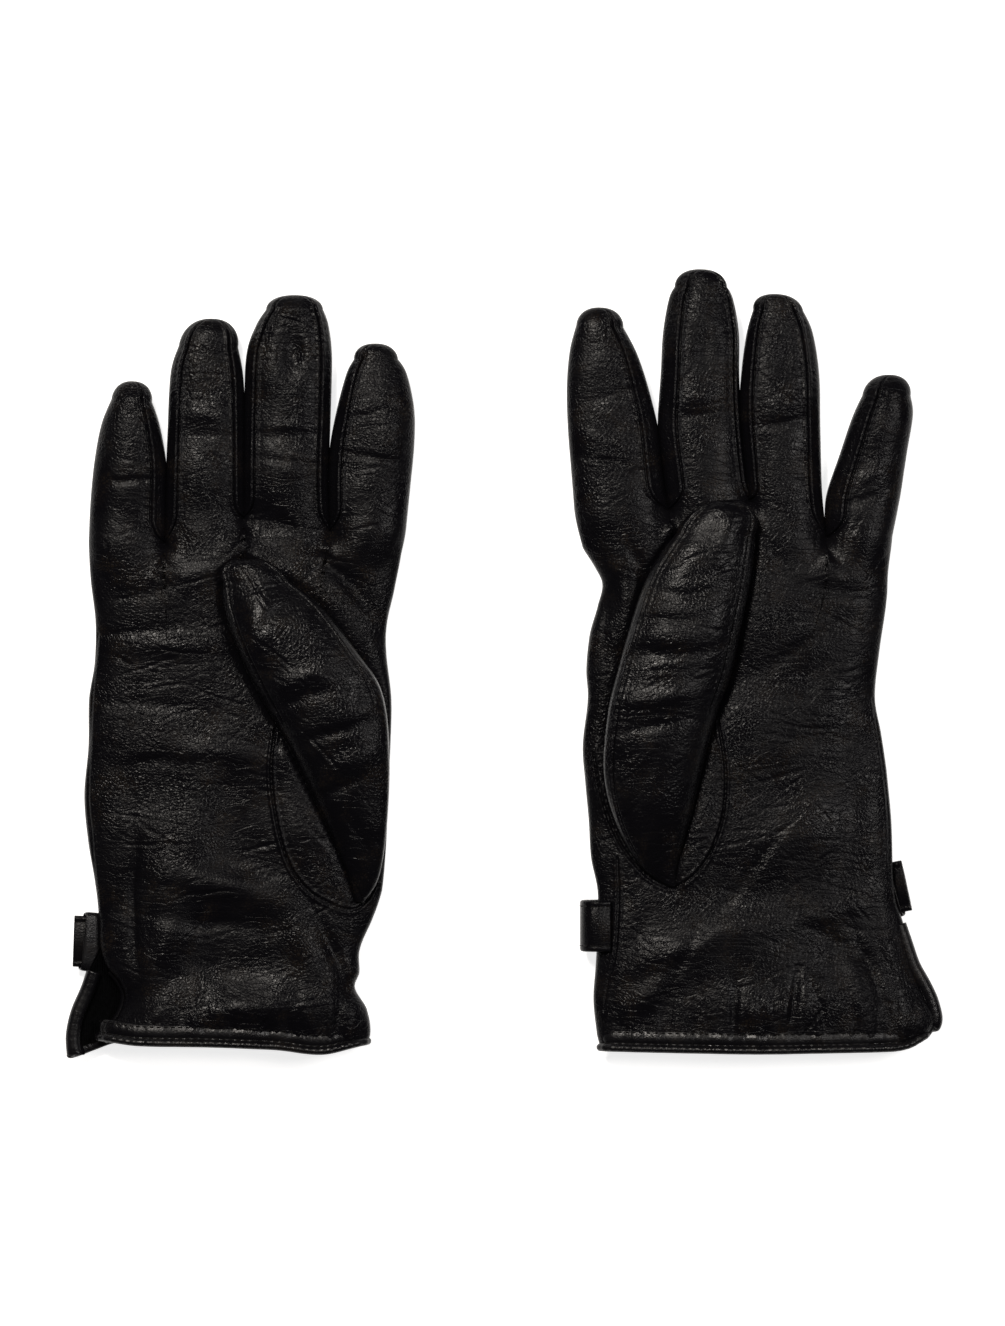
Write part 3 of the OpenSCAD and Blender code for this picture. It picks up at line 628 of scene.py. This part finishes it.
def hand_surface(glove, side):
    """Grid over the palm side or the back, joined to the finger roots at its last row."""
    roots, root_up = border(glove, side == "palm")
    x, y, s = hand_plan(glove, side, roots)
    reach = mix(CROTCH, BLEND, root_up**2)[None, :]
    near = ease(1 - (roots[None, :, 1] - y) / reach)
    body = hand_profile(2 * s - 1)
    floor = lifted(y)
    middle = SEAM_Z + floor / 2
    if side == "palm":
        top = HAND_TOP + CUFF_RISE * ease((CUFF_FROM - y) / CUFF_OVER)
        z = middle + (top - middle) * body
        z = z + palm_relief(glove, x, y) * mix(body, root_up[None, :], near) * (1 - near)
    else:
        z = middle - (middle - floor) * body
        z = np.maximum(z - 0.35 * leather_relief(x + 300, y) * body * (1 - near), floor)
    points = np.dstack([x, y, mix(z, roots[None, :, 2], near)])
    points[-1] = roots
    return points


def thumb_outline(glove):
    left = [row[LEFT_XY] for row in glove["thumb"]]
    right = [row[RIGHT_XY] for row in glove["thumb"]]
    return left + [glove["thumb_tip"]] + right[::-1]


def palm_relief(glove, x, y):
    """Everything that shapes the palm: wrinkles, folds, seams and the thumb lying on it."""
    z = leather_relief(x, y) + folds(glove["folds"], x, y)
    distance, along = from_line(glove["oval"], x, y)
    signed = np.where(inside(glove["oval"], x, y), distance, -distance)
    z += groove(distance) * 1.2 + puckers(distance, along)
    z += 1.8 * (1 - np.exp(-np.clip(signed, 0, 99) / 4))
    for line in glove["side_seams"]:
        distance, along = from_line(line, x, y)
        z += 0.8 * groove(distance) + puckers(distance, along)
    outline = thumb_outline(glove)
    distance, _ = from_line(outline, x, y)
    covered = inside(outline, x, y)
    z = np.where(covered, z * np.exp(-distance / 4), z)
    z -= 1.6 * np.where(covered, 1, np.exp(-distance / 1.6))
    gathers = noise(x / 2.2, y / 12, 12) * np.exp(-np.clip(y + 124, 0, 99) / 8)
    return z + 0.6 * gathers


# ---- Thumb ----


def thumb_rows(glove):
    """The thumb's stations filled in row by row, then the rows that close its tip."""
    stations = np.array(glove["thumb"], float)
    middle = (stations[:, LEFT_XY] + stations[:, RIGHT_XY]) / 2
    length = np.linalg.norm(np.diff(middle, axis=0), axis=1).sum()
    rows = through(stations, np.linspace(0, 1, int(length / FINGER_STEP)))
    last = rows[-1]
    w = np.linspace(0, math.pi / 2, THUMB_TIP_ROWS)[1:]
    centre, half = (last[LEFT_XY] + last[RIGHT_XY]) / 2, (last[RIGHT_XY] - last[LEFT_XY]) / 2
    middle = mix(centre[None], np.array(glove["thumb_tip"], float)[None], np.sin(w)[:, None])
    reach = half * np.cos(w)[:, None] ** 0.9
    close = np.maximum(np.cos(w), 0.01) ** 0.6
    level = (last[LEFT_Z] + last[RIGHT_Z]) / 2
    cap = np.tile(last, (len(w), 1))
    cap[:, LEFT_XY], cap[:, RIGHT_XY] = middle - reach, middle + reach
    for height in (TOP_Z, UNDER_Z):
        cap[:, height] = mix(level, last[height], close)
    return np.vstack([rows, cap])


def thumb_grid(rows):
    """Rings of the thumb, and how far each column faces up."""
    a = angle_at(np.linspace(1, -1, THUMB_FRONT))
    a = np.concatenate([a, 2 * math.pi - a[-2:0:-4]])[None, :]
    across = (1 + power(np.cos(a), SECTION)) / 2
    xy = mix(rows[:, None, LEFT_XY], rows[:, None, RIGHT_XY], across[..., None])
    level = mix(rows[:, LEFT_Z, None], rows[:, RIGHT_Z, None], across)
    reach = np.where(np.sin(a) >= 0, rows[:, TOP_Z, None] - level, level - rows[:, UNDER_Z, None])
    points = np.dstack([xy, level + reach * power(np.sin(a), SECTION)])
    return points, np.clip(np.sin(a), 0, 1) ** 0.6


def thumb_surface(glove):
    """Grid of the thumb with its seams, wrinkles and folds, which run across it."""
    points, up = thumb_grid(thumb_rows(glove))
    x, y = points[..., 0], points[..., 1]
    turn = math.radians(glove["thumb_turn"])
    u = x * math.cos(turn) - y * math.sin(turn)
    v = x * math.sin(turn) + y * math.cos(turn)
    relief = leather_relief(u + 60, v) + folds(glove["dents"], x, y)
    grow = ease(np.arange(len(points)) / 14)[:, None]
    points[..., 2] += up * relief * grow
    spine = points[:, THUMB_FRONT // 2]
    run = np.concatenate([[0], np.cumsum(np.linalg.norm(np.diff(spine, axis=0), axis=1))])
    seam = sum(seam_relief(points, run, column, start) for column, start in glove["thumb_seams"])
    seam = seam * ease((run[-1] - run[:, None]) / 4)
    return points + outward(points, True) * seam[..., None] * 0.5


# ---- Bands: cuff binding, strap and keeper ----


def resample(points, step):
    points = np.asarray(points, float)
    run = np.concatenate([[0], np.cumsum(np.linalg.norm(np.diff(points, axis=0), axis=1))])
    at = np.linspace(0, run[-1], max(2, int(run[-1] / step)))
    return np.stack([np.interp(at, run, points[:, k]) for k in range(points.shape[1])], 1), at


def unit(v):
    return v / np.maximum(np.linalg.norm(v, axis=-1, keepdims=True), 1e-9)


def smooth_rows(v, times):
    for _ in range(times):
        v[1:-1] = (v[:-2] + 2 * v[1:-1] + v[2:]) / 4
    return v


def sweep(path, inward, normal, profile, size=1.0, pucker=0.0):
    """Carries a closed outline of (inward, out) points along a path. `profile` is one outline or
    one per row; `size` scales it, as one number or as (inward, out) pairs."""
    profile = np.asarray(profile, float)
    size = np.broadcast_to(size, (len(path), 2))
    across = size[:, 0:1] * profile[..., 0]
    out = size[:, 1:2] * profile[..., 1] * (1 + np.broadcast_to(pucker, len(path))[:, None])
    return path[:, None] + inward[:, None] * across[..., None] + normal[:, None] * out[..., None]


# Section of the cuff's binding: a roll over the edge, a stitched groove and a flat band
BINDING = [
    (-0.9, 0.1), (-0.75, 1.0), (-0.1, 1.6), (0.8, 1.65), (1.5, 1.1), (1.95, 0.25), (2.4, 0.4),
    (3.0, 0.6), (4.2, 0.65), (5.2, 0.5), (5.8, 0.3), (6.2, 0.2), (6.6, -0.1), (6.8, -0.5),
    (5.4, -0.7), (3.6, -0.8), (1.5, -1.0), (0, -1.0), (-0.7, -0.7),
]

# Its rows of stitches, two on the outside and one inside: (distance inward, height)
CUFF_ROWS = [(1.95, 0.45), (5.8, 0.5), (1.95, -1.0)]

# Rounded roll along the slit's edges, point for point with the binding
ROLL = [
    (1.1 - 2.0 * math.cos(a), 1.5 * math.sin(a))
    for a in np.linspace(0, 2 * math.pi, len(BINDING), endpoint=False)
]


def slit_and_cuff(glove):
    """Rows along the slit's palm edge, round the cuff and up the slit's back edge. Each has its
    place, the way in from the edge, the way out of the leather, and (inward size, outward size,
    roll), where roll turns the binding's flat section into a rounded roll."""
    palm, back = glove["palm_grid"], glove["back_grid"]
    at_low = glove["slit_edge"] == "low"
    palm_slit, back_slit = (-1, 0) if at_low else (0, -1)
    down = palm[palm[:, palm_slit, 1] < glove["slit_top"], palm_slit][::-1]
    across = palm[0, ::-1] if at_low else palm[0]
    returning = back[0, ::-1] if at_low else back[0]
    up = back[back[:, back_slit, 1] < glove["slit_top"], back_slit]
    inner = (3.0 if at_low else -3.0, 0, 0)
    along = (0, 3.0, 0)
    parts = [
        (down, inner, 1, (1.0, 1.1, 1.0)), (across[1:], along, 1, (1.0, 1.0, 0.0)),
        (returning[1:], along, -1, (1.0, 1.0, 0.0)), (up[1:], inner, -1, (1.25, 1.4, 1.0)),
    ]
    return np.vstack([
        np.hstack([p, np.tile([*way, 0, 0, out, *size], (len(p), 1))]) for p, way, out, size in parts
    ])


def cuff_path(glove):
    """Middle line of the binding, its directions inward and out, its length and its sizes."""
    both, run = resample(slit_and_cuff(glove), 0.5)
    path = smooth_rows(both[:, 0:3], 10)
    inward = smooth_rows(both[:, 3:6], 14)
    normal = smooth_rows(both[:, 6:9], 14)
    size = smooth_rows(both[:, 9:12], 30)
    tangent = unit(np.gradient(path, axis=0))
    inward = unit(inward - tangent * (inward * tangent).sum(1, keepdims=True))
    out = unit(np.cross(inward, tangent))
    out = out * np.sign((out * normal).sum(1, keepdims=True) + 1e-9)
    facing = np.sign((out * normal).sum(1, keepdims=True))
    return path, inward, unit(smooth_rows(out * facing, 8)), run, size


def stitches(path, inward, normal, run, offset, height):
    """Short rounded stitches set along a band: points and faces."""
    line = path + inward * offset + normal * height
    points, faces = [], []
    t = np.linspace(-1, 1, 7)
    a = np.linspace(0, 2 * math.pi, 7)[:-1]
    tangent = unit(np.gradient(path, axis=0))
    radius = THREAD_R * np.sqrt(np.clip(1 - t**2, 0.03, 1))
    block = tube_faces(len(t), len(a))
    for s in np.arange(run[0] + 1, run[-1] - 1, STITCH):
        centre, along, side, out = (
            np.array([np.interp(s, run, values[:, k]) for k in range(3)])
            for values in (line, tangent, inward, normal)
        )
        ring = (
            centre
            + along * (t[:, None, None] * THREAD_HALF)
            + side * (radius[:, None] * np.cos(a))[..., None]
            + out * (radius[:, None] * np.sin(a) - 0.25 * t[:, None] ** 2)[..., None]
        )
        first = len(points) * ring.shape[0] * ring.shape[1]
        faces += [tuple(first + k for k in face) for face in block]
        points.append(ring.reshape(-1, 3))
    return np.vstack(points), faces


def band_profile(width, thickness):
    """Flat strap with rounded edges and a shallow groove along both edges of each face."""
    h, t = width / 2, thickness / 2
    face = [(-h + 0.25, 0.75 * t), (-h + 0.9, t), (-h + 1.6, t), (-h + 2.0, 0.72 * t), (-h + 2.5, t)]
    upper = face + [(-x, z) for x, z in face[::-1]]
    return [(-h, 0)] + upper + [(h, 0)] + [(x, -z) for x, z in upper[::-1]]


def strap_path(glove):
    points = through(glove["strap"], np.linspace(0, 1, 200))
    path, run = resample(points, 0.6)
    tangent = unit(np.gradient(path, axis=0))
    side = unit(np.cross([0, 0, 1.0], tangent * [1, 1, 0] + [1e-6, 0, 0]))
    side = np.where(side[:, 1:2] < 0, -side, side)
    return path, side, unit(np.cross(tangent, side)), run


# ---- Materials ----


def add(tree, kind, **settings):
    """A node with its properties and, by name, its input values or links."""
    node = tree.nodes.new(kind)
    inputs = settings.pop("inputs", {})
    for key, value in settings.items():
        setattr(node, key, value)
    for key, value in inputs.items():
        socket = node.inputs[key]
        if isinstance(value, bpy.types.NodeSocket):
            tree.links.new(value, socket)
        else:
            socket.default_value = value
    return node


def math_node(tree, operation, a, b, c=0.0):
    node = add(tree, "ShaderNodeMath", operation=operation)
    for socket, value in zip(node.inputs, (a, b, c)):
        if isinstance(value, bpy.types.NodeSocket):
            tree.links.new(value, socket)
        else:
            socket.default_value = value
    return node.outputs[0]


def ranged(tree, value, low, high, to_low=0.0, to_high=1.0):
    node = add(tree, "ShaderNodeMapRange", interpolation_type="SMOOTHSTEP")
    tree.links.new(value, node.inputs["Value"])
    limits = {"From Min": low, "From Max": high, "To Min": to_low, "To Max": to_high}
    for name, limit in limits.items():
        node.inputs[name].default_value = limit
    return node.outputs["Result"]


def millimetres(tree, scale=(1, 1, 1)):
    """Each point's place at rest, in millimetres, stretched by scale."""
    rest = add(tree, "ShaderNodeAttribute", attribute_name="rest")
    mapping = add(tree, "ShaderNodeMapping", inputs={"Vector": rest.outputs["Vector"]})
    mapping.inputs["Scale"].default_value = [1000 * s for s in scale]
    return mapping.outputs["Vector"]


def cells(tree, vector, size, feature="DISTANCE_TO_EDGE"):
    node = add(tree, "ShaderNodeTexVoronoi", feature=feature, inputs={"Vector": vector, "Scale": 1 / size})
    return node.outputs["Distance"]


def cloud(tree, vector, size, detail=3.0):
    node = add(tree, "ShaderNodeTexNoise", inputs={"Vector": vector, "Scale": 1 / size, "Detail": detail})
    return node.outputs["Fac"]


def warped(tree, vector, size, amount):
    wobble = add(tree, "ShaderNodeTexNoise", inputs={"Vector": vector, "Scale": 1 / size, "Detail": 2.0})
    centred = add(tree, "ShaderNodeVectorMath", operation="SUBTRACT")
    tree.links.new(wobble.outputs["Color"], centred.inputs[0])
    centred.inputs[1].default_value = (0.5, 0.5, 0.5)
    moved = add(tree, "ShaderNodeVectorMath", operation="MULTIPLY_ADD")
    tree.links.new(centred.outputs[0], moved.inputs[0])
    moved.inputs[1].default_value = (amount, amount, amount)
    tree.links.new(vector, moved.inputs[2])
    return moved.outputs[0]


def new_material(name, **values):
    """A material, its nodes and its shader, with input values such as Base_Color set."""
    material = bpy.data.materials.new(name)
    material.use_nodes = True
    tree = material.node_tree
    shader = tree.nodes["Principled BSDF"]
    for key, value in values.items():
        shader.inputs[key.replace("_", " ")].default_value = value
    return material, tree, shader


def leather(name, grain, pebble, crease, rough, gloss):
    """Black leather: pebbled grain, stretched creases, a painted warm-brown highlight on the pebble tops in
    patches, and uneven gloss.
    """
    material, tree, shader = new_material(name, Specular_IOR_Level=gloss)
    place = millimetres(tree)
    pebbles = ranged(tree, cells(tree, warped(tree, place, 3.0, 0.8), grain), 0.0, 0.28)
    region = ranged(tree, cloud(tree, place, 26.0), 0.38, 0.62, 0.495 * pebble, 1.1 * pebble)
    wide = warped(tree, millimetres(tree, (0.22, 1.0, 0.6)), 5.0, 4.0)
    lines = ranged(tree, cells(tree, wide, 3.0), 0.0, 0.06)
    line_region = ranged(tree, cloud(tree, place, 14.0), 0.40, 0.58, 0.25 * crease, crease)
    narrow = warped(tree, millimetres(tree, (0.4, 1, 0.8)), 2.0, 1.5)
    hair = ranged(tree, cells(tree, narrow, 1.5), 0.0, 0.1)
    fine = cloud(tree, place, 0.35, 4.0)

    height = math_node(tree, "MULTIPLY", pebbles, region)
    height = math_node(tree, "MULTIPLY_ADD", lines, line_region, height)
    height = math_node(tree, "MULTIPLY_ADD", hair, 0.3 * crease, height)
    height = math_node(tree, "MULTIPLY_ADD", fine, 0.02, height)
    bump = add(tree, "ShaderNodeBump", inputs={"Height": height, "Strength": 1.0, "Distance": 0.000065})
    tree.links.new(bump.outputs["Normal"], shader.inputs["Normal"])

    # Painted highlight: the pebble tops in cloudy patches get a lighter warm brown, which stands in for the
    # leather's brownish glints
    painted_highlight = math_node(tree, "MULTIPLY", ranged(tree, cloud(tree, place, 9.0), 0.5, 0.72), pebbles)
    shades = {"A": (0.0030, 0.0028, 0.0038, 1), "B": (0.011, 0.0085, 0.007, 1)}
    colour = add(tree, "ShaderNodeMix", data_type="RGBA", inputs={"Factor": painted_highlight, **shades})
    tree.links.new(colour.outputs["Result"], shader.inputs["Base Color"])

    patches = ranged(tree, cloud(tree, place, 12.0), 0.35, 0.65, rough + 0.07, rough - 0.05)
    roughness = math_node(tree, "MULTIPLY_ADD", pebbles, -0.05, patches)
    tree.links.new(roughness, shader.inputs["Roughness"])
    return material


def thread_material():
    """Waxed black thread with its twist."""
    material, tree, shader = new_material(
        "thread", Base_Color=(0.006, 0.0055, 0.0055, 1), Roughness=0.5, Specular_IOR_Level=0.15
    )
    place = millimetres(tree)
    wave = add(tree, "ShaderNodeTexWave", inputs={"Vector": place, "Scale": 2.2, "Distortion": 1.5})
    bump = add(tree, "ShaderNodeBump", inputs={"Height": wave.outputs["Fac"], "Distance": 0.00006})
    tree.links.new(bump.outputs["Normal"], shader.inputs["Normal"])
    return material


def knit_material():
    """Dark knitted lining: rows of small loops."""
    material, tree, shader = new_material("knit_lining", Roughness=0.9, Specular_IOR_Level=0.03)
    place = warped(tree, millimetres(tree, (1, 0.7, 1)), 2.0, 0.3)
    loops = cells(tree, place, 0.8, "F1")
    rows = add(tree, "ShaderNodeTexWave", inputs={"Vector": place, "Scale": 0.4, "Distortion": 2.0})
    height = math_node(tree, "MULTIPLY_ADD", loops, -0.8, rows.outputs["Fac"])
    bump = add(tree, "ShaderNodeBump", inputs={"Height": height, "Distance": 0.0003})
    tree.links.new(bump.outputs["Normal"], shader.inputs["Normal"])
    shades = {"A": (0.0025, 0.0025, 0.003, 1), "B": (0.001, 0.001, 0.0012, 1)}
    shade = add(tree, "ShaderNodeMix", data_type="RGBA", inputs={"Factor": loops, **shades})
    tree.links.new(shade.outputs["Result"], shader.inputs["Base Color"])
    return material


def floor_material():
    material, _, _ = new_material(
        "pale_floor", Base_Color=(0.93, 0.93, 0.93, 1), Roughness=0.9,
        Emission_Color=(1, 1, 1, 1), Emission_Strength=0.8,
    )
    return material


# ---- Building ----


def build_glove(side, glove, materials):
    for finger in glove["fingers"].values():
        finger["surface"] = finger_surface(finger, glove["folds"])
    glove["palm_grid"] = hand_surface(glove, "palm")
    glove["back_grid"] = hand_surface(glove, "back")
    build_hand(side, glove, materials)
    for name, finger in glove["fingers"].items():
        build_finger(side, name, finger, materials)
    build_thumb(side, glove, materials)
    build_cuff(side, glove, materials)
    build_lining(side, glove, materials)
    build_strap(side, glove, materials)


def build_hand(side, glove, materials):
    for part in ("palm", "back"):
        grid = glove[part + "_grid"]
        obj = mesh_object(
            f"{side}_{part}_leather", grid, grid_faces(*grid.shape[:2], flip=True),
            materials["hand_leather"], side + "_hand",
        )
        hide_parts(f"{side}_{part}")


def build_finger(side, name, finger, materials):
    points, _ = finger["surface"]
    rows, cols = points.shape[:2]
    faces = grid_faces(rows, cols, closed=True, flip=True)
    faces.append(tuple(range((rows - 1) * cols, rows * cols))[::-1])
    obj = mesh_object(f"{side}_{name}_finger", points, faces, materials["hand_leather"])
    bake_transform(obj)
    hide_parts(*[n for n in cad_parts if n.startswith(f"{side}_{name}_")])


def build_thumb(side, glove, materials):
    points = thumb_surface(glove)
    rows, cols = points.shape[:2]
    faces = tube_faces(rows, cols, flip=True)
    obj = mesh_object(side + "_thumb_leather", points, faces, materials["thumb_leather"])
    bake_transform(obj)
    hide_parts(*[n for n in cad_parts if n.startswith(side + "_thumb_")])


def build_cuff(side, glove, materials):
    path, inward, normal, run, size = cuff_path(glove)
    ribs = 0.07 * np.sin(2 * math.pi * run / STITCH) + 0.03 * np.sin(2 * math.pi * run / 1.1)
    roll = size[:, 2]
    sections = mix(np.array(BINDING), np.array(ROLL), roll[:, None, None])
    grid = sweep(path, inward, normal, sections, size[:, :2], ribs * (1 - 0.85 * roll))
    obj = mesh_object(
        side + "_cuff_binding", grid, tube_faces(*grid.shape[:2]),
        materials["binding_leather"], side + "_hand",
    )
    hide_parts(side + "_hem")
    cuff = roll < 0.3
    for k, (offset, height) in enumerate(CUFF_ROWS):
        points, faces = stitches(path[cuff], inward[cuff], normal[cuff], run[cuff], offset, height)
        name = f"{side}_cuff_stitches_{k + 1}"
        row = mesh_object(name, points, faces, materials["thread"], side + "_hand")


def build_lining(side, glove, materials):
    """Knitted lining against the palm side and the back, open at the cuff and both sides."""
    points, faces = [], []
    for part, way in (("palm_grid", -1.5), ("back_grid", 1.5)):
        grid = glove[part][LINING_ROWS, ::4].copy()
        grid[..., 2] += way
        middle = (grid[:, :1, 0] + grid[:, -1:, 0]) / 2
        grid[..., 0] = middle + (grid[..., 0] - middle) * 0.98
        first = sum(len(p) for p in points)
        faces += [tuple(first + k for k in face) for face in grid_faces(*grid.shape[:2], flip=True)]
        points.append(grid.reshape(-1, 3))
    obj = mesh_object(
        side + "_knit_lining", np.vstack(points), faces, materials["knit_lining"], side + "_hand"
    )
    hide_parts(side + "_hand_lining")


def build_strap(side, glove, materials):
    path, across, normal, run = strap_path(glove)
    profile = band_profile(STRAP_W, STRAP_T)
    grid = sweep(path, across, normal, profile)
    obj = mesh_object(
        side + "_wrist_strap", grid, tube_faces(*grid.shape[:2]),
        materials["strap_leather"], side + "_hand",
    )
    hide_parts(side + "_strap")
    for k, offset in enumerate((STRAP_SEAM - STRAP_W / 2, STRAP_W / 2 - STRAP_SEAM)):
        for face, height in (("outer", STRAP_FACE), ("inner", -STRAP_FACE)):
            points, faces = stitches(path, across, normal, run, offset, height)
            name = f"{side}_strap_stitches_{face}_{k + 1}"
            row = mesh_object(name, points, faces, materials["thread"], side + "_hand")
    build_keeper(side, glove, materials, path, across, normal)


def build_keeper(side, glove, materials, path, across, normal):
    """Loop of leather round the strap."""
    x, width = glove["keeper"]
    k = int(np.argmin(np.abs(path[:, 0] - x) + 50 * (path[:, 2] > 9)))
    along = unit(np.cross(across[k], normal[k]))
    a = np.linspace(0, 2 * math.pi, 72, endpoint=False)
    ring = (
        path[k]
        + across[k] * (power(np.cos(a), 0.35) * (STRAP_W / 2 + KEEPER_GAP))[:, None]
        + normal[k] * (power(np.sin(a), 0.5) * (STRAP_T / 2 + 1.1))[:, None]
    )
    t = np.linspace(-1, 1, 13)
    bulge = np.clip(1 - np.abs(t) ** 6, 0, 1)
    outer = ring[None] + along * (t[:, None, None] * width / 2)
    swell = unit(ring - path[k])
    outer = outer + swell[None] * (0.45 * bulge)[:, None, None]
    inner = ring[None] + along * (t[::-1, None, None] * width / 2) - swell[None] * 0.35
    grid = np.concatenate([outer, inner], axis=0)
    grid = np.concatenate([grid, grid[:1]], axis=0)
    obj = mesh_object(
        side + "_strap_keeper", grid, grid_faces(*grid.shape[:2], closed=True),
        materials["binding_leather"], side + "_hand",
    )
    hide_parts(side + "_keeper")


# ---- Camera, lights and floor, in metres ----

CAMERA_HEIGHT = 2.6
PICTURE_HEIGHT = 0.4508
FLOOR_HALF = 12.0
FLOOR_Z = -0.0006   # just under the lowest stitch


def add_camera():
    """Looks straight down, with the fingertips at the top of the picture."""
    data = bpy.data.cameras.new("camera")
    camera = in_scene("camera", data)
    camera.location = (0, 0, CAMERA_HEIGHT)
    data.lens = data.sensor_width * CAMERA_HEIGHT / PICTURE_HEIGHT
    bpy.context.scene.camera = camera


def area_light(name, place, size, power_w, colour):
    """A rectangular light that faces the middle of the floor."""
    data = bpy.data.lights.new(name, "AREA")
    data.shape = "RECTANGLE"
    data.size, data.size_y = size
    data.energy = power_w
    data.color = colour
    light = in_scene(name, data)
    light.location = place
    light.rotation_euler = (-light.location).to_track_quat("-Z", "Y").to_euler()


def add_lights():
    area_light("key", (-0.42, 0.68, 1.45), (0.36, 0.3), 19, (1, 0.94, 0.87))
    area_light("fill", (0.75, 0.2, 1.35), (0.3, 0.5), 7, (1, 0.96, 0.93))
    world = bpy.data.worlds.new("studio")
    bpy.context.scene.world = world
    world.use_nodes = True
    background = world.node_tree.nodes["Background"].inputs
    background["Color"].default_value = (1, 1, 1, 1)
    background["Strength"].default_value = 0.025


def add_floor(material):
    h = FLOOR_HALF
    points = [(-h, -h, 0), (h, -h, 0), (h, h, 0), (-h, h, 0)]
    mesh = bpy.data.meshes.new("floor")
    mesh.from_pydata(points, [], [(0, 1, 2, 3)])
    mesh.materials.append(material)
    floor = in_scene("floor", mesh)
    floor.location.z = FLOOR_Z


def main():
    bpy.context.scene.view_settings.view_transform = "Standard"
    add_camera()
    materials = {
        "hand_leather": leather("hand_leather", 1.15, 1.0, crease=1.0, rough=0.29, gloss=0.1),
        "thumb_leather": leather("thumb_leather", 1.2, 0.9, crease=0.8, rough=0.28, gloss=0.12),
        "binding_leather": leather("binding_leather", 0.9, 0.4, crease=0.2, rough=0.34, gloss=0.25),
        "strap_leather": leather("strap_leather", 0.9, 0.6, crease=0.4, rough=0.34, gloss=0.1),
        "thread": thread_material(),
        "knit_lining": knit_material(),
    }
    build_glove("right", RIGHT, materials)
    build_glove("left", LEFT, materials)
    add_lights()
    add_floor(floor_material())


main()
